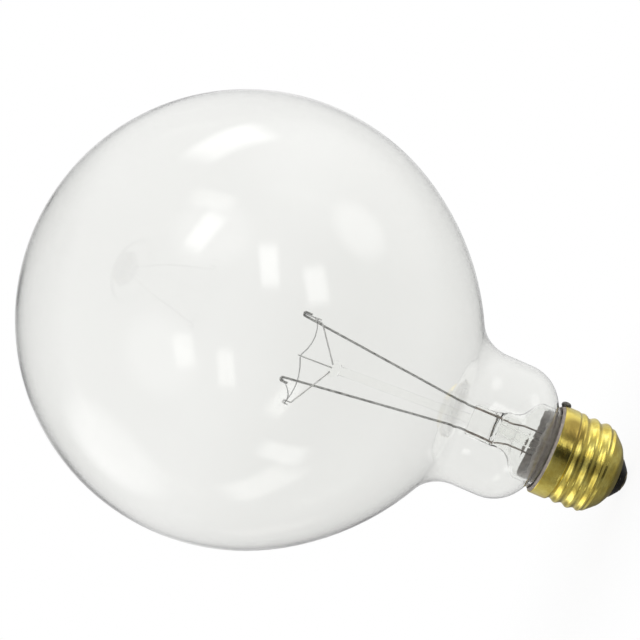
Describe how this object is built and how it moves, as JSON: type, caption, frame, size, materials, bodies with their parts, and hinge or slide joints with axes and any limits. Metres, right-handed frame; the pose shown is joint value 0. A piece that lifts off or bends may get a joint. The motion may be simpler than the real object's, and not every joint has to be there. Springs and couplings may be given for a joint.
{
  "type": "globe bulb",
  "caption": "Clear glass globe bulb with a straight neck, a visible filament on a glass stem, and a brass screw cap.",
  "frame": {"origin": "lowest point of the centre contact, on the bulb's axis", "axes": "+Z along the bulb's axis from the cap to the globe; +X towards the solder on the cap's rim; -Y is the side that the filament faces"},
  "size_m": [0.127, 0.127, 0.1787],
  "materials": {
    "clear_glass": "clear, thin wall",
    "stem_glass": "clear, thick wall",
    "lead_nickel": "dull plated wire",
    "seal_copper": "copper sheathed wire",
    "support_wire": "bare wire",
    "filament_wire": "coiled wire",
    "cap_brass": "bright rolled sheet",
    "insulator_black": "glossy black glass",
    "contact_brass": "stamped",
    "solder": "set solder",
    "cement": "baked cement"
  },
  "bodies": {
    "root": {"glass_envelope": "clear_glass", "stem_flare": "stem_glass", "exhaust_tube": "stem_glass", "arbor_rod": "stem_glass", "inner_lead_a": "lead_nickel", "inner_lead_b": "lead_nickel", "dumet_seal_a": "seal_copper", "dumet_seal_b": "seal_copper", "outer_lead_shell": "seal_copper", "outer_lead_contact": "seal_copper", "support_wire_1": "support_wire", "support_wire_2": "support_wire", "support_wire_3": "support_wire", "filament": "filament_wire", "cap_shell": "cap_brass", "cap_insulator": "insulator_black", "centre_contact": "contact_brass", "contact_solder": "solder", "side_solder": "solder", "basing_cement": "cement"}
  },
  "joints": []
}
